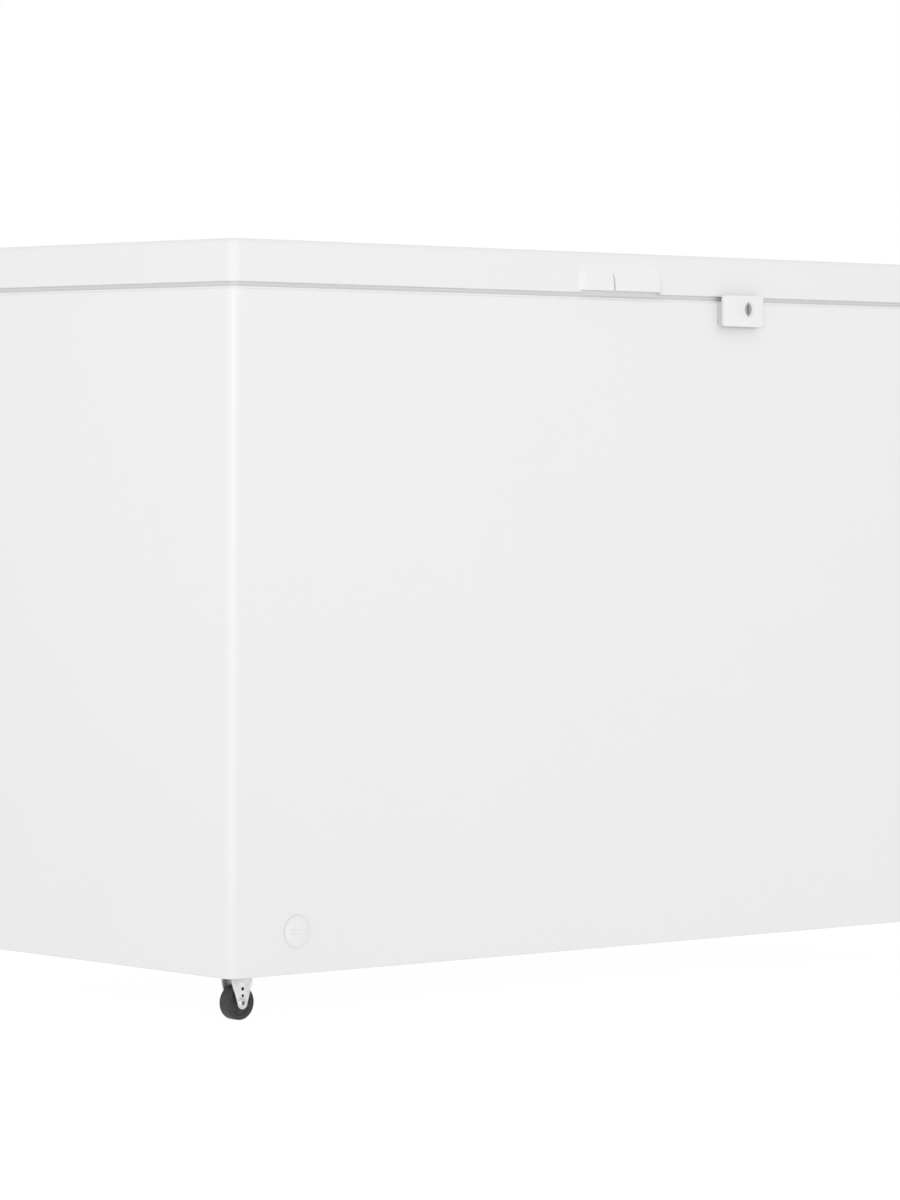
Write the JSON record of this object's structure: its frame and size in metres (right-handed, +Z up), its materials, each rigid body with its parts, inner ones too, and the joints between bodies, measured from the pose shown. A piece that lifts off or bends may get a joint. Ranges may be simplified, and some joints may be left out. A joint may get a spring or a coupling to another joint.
{
  "type": "chest freezer",
  "caption": "Box-shaped chest freezer: foamed steel cabinet on small fixed casters, rear-hinged foamed lid with a pull lip and key lock, front drain and side compressor bay.",
  "frame": {"origin": "on the floor, under the middle of the bounding box", "axes": "+Z up, +X to the right along the front, -Y towards the person in front of it"},
  "size_m": [1.156, 0.589, 0.851],
  "materials": {
    "cabinet_paint": "satin near-white paint on steel sheet",
    "liner_paint": "stucco-embossed white sheet",
    "white_plastic": "satin white moulding",
    "drain_plastic": "plain moulding",
    "pu_foam": "foamed in place",
    "zinc_steel": "zinc plated",
    "black_paint": "semi-gloss black",
    "black_rubber": "matt black",
    "black_plastic": "matt black",
    "copper": "drawn copper",
    "knob_plastic": "light grey",
    "lamp_plastic": "translucent green",
    "bung_rubber": "grey",
    "gasket_rubber": "off-white, soft",
    "lock_metal": "plated",
    "spring_steel": "oiled spring wire",
    "basket_wire": "white coated"
  },
  "bodies": {
    "cabinet": {"outer_shell": "cabinet_paint", "inner_liner": "liner_paint", "top_breaker_frame": "white_plastic", "side_grille": "white_plastic", "drain_outlet": "white_plastic", "drain_tube": "drain_plastic", "cabinet_foam": "pu_foam", "base_pan": "zinc_steel", "machine_bulkhead": "zinc_steel", "compressor_plate": "zinc_steel", "lock_strike": "zinc_steel", "hinge_left_cabinet_leaf": "zinc_steel", "hinge_left_pin": "zinc_steel", "hinge_right_cabinet_leaf": "zinc_steel", "hinge_right_pin": "zinc_steel", "caster_front_left_bracket": "zinc_steel", "caster_front_left_axle": "zinc_steel", "caster_front_right_bracket": "zinc_steel", "caster_front_right_axle": "zinc_steel", "caster_rear_left_bracket": "zinc_steel", "caster_rear_left_axle": "zinc_steel", "caster_rear_right_bracket": "zinc_steel", "caster_rear_right_axle": "zinc_steel", "compressor": "black_paint", "compressor_grommet_1": "black_rubber", "compressor_grommet_2": "black_rubber", "compressor_grommet_3": "black_rubber", "compressor_grommet_4": "black_rubber", "control_wiring": "black_rubber", "cord_gland": "black_rubber", "relay_cover": "black_plastic", "thermostat_body": "black_plastic", "filter_drier": "copper", "discharge_line": "copper", "suction_line": "copper", "capillary_tube": "copper", "condenser_coil": "copper", "evaporator_coil": "copper", "power_lamp": "lamp_plastic", "hinge_left_spring": "spring_steel", "hinge_right_spring": "spring_steel"},
    "lid": {"lid_outer": "cabinet_paint", "lid_foam": "pu_foam", "lid_inner": "white_plastic", "lid_gasket": "gasket_rubber", "lid_grip": "white_plastic", "lock_housing": "white_plastic", "hinge_left_lid_leaf": "zinc_steel", "hinge_right_lid_leaf": "zinc_steel"},
    "lock_core": {"lock_cylinder": "lock_metal", "lock_cam": "zinc_steel"},
    "thermostat_knob": {"thermostat_knob": "knob_plastic"},
    "drain_cap": {"drain_cap": "white_plastic"},
    "drain_bung": {"drain_bung": "bung_rubber"},
    "storage_basket": {"storage_basket": "basket_wire"},
    "caster_front_left_wheel": {"caster_front_left_wheel": "black_rubber"},
    "caster_front_right_wheel": {"caster_front_right_wheel": "black_rubber"},
    "caster_rear_left_wheel": {"caster_rear_left_wheel": "black_rubber"},
    "caster_rear_right_wheel": {"caster_rear_right_wheel": "black_rubber"}
  },
  "joints": [
    {"name": "lid_hinge", "type": "hinge", "parent": "cabinet", "child": "lid", "pos_m": [0, 0.2865, 0.8], "axis": [-1, 0, 0], "range_deg": [0, 80]},
    {"name": "lock_turn", "type": "hinge", "parent": "lid", "child": "lock_core", "pos_m": [0.198, -0.29, 0.79], "axis": [0, 1, 0], "range_deg": [0, 90]},
    {"name": "thermostat_turn", "type": "hinge", "parent": "cabinet", "child": "thermostat_knob", "pos_m": [0.573, -0.134, 0.205], "axis": [1, 0, 0], "range_deg": [0, 270]},
    {"name": "drain_cap_turn", "type": "hinge", "parent": "cabinet", "child": "drain_cap", "pos_m": [-0.484, -0.29, 0.095], "axis": [0, -1, 0], "range_deg": [0, 350]},
    {"name": "drain_bung_lift", "type": "slide", "parent": "cabinet", "child": "drain_bung", "axis": [0, 0, 1], "range_m": [0, 0.04]},
    {"name": "basket_slide", "type": "slide", "parent": "cabinet", "child": "storage_basket", "axis": [1, 0, 0], "range_m": [0, 0.7]},
    {"name": "front_left_wheel_roll", "type": "hinge", "parent": "cabinet", "child": "caster_front_left_wheel", "pos_m": [-0.544, -0.254, 0.019], "axis": [0, 1, 0], "continuous": true},
    {"name": "front_right_wheel_roll", "type": "hinge", "parent": "cabinet", "child": "caster_front_right_wheel", "pos_m": [0.544, -0.254, 0.019], "axis": [0, 1, 0], "continuous": true},
    {"name": "rear_left_wheel_roll", "type": "hinge", "parent": "cabinet", "child": "caster_rear_left_wheel", "pos_m": [-0.544, 0.246, 0.019], "axis": [0, 1, 0], "continuous": true},
    {"name": "rear_right_wheel_roll", "type": "hinge", "parent": "cabinet", "child": "caster_rear_right_wheel", "pos_m": [0.544, 0.246, 0.019], "axis": [0, 1, 0], "continuous": true}
  ]
}
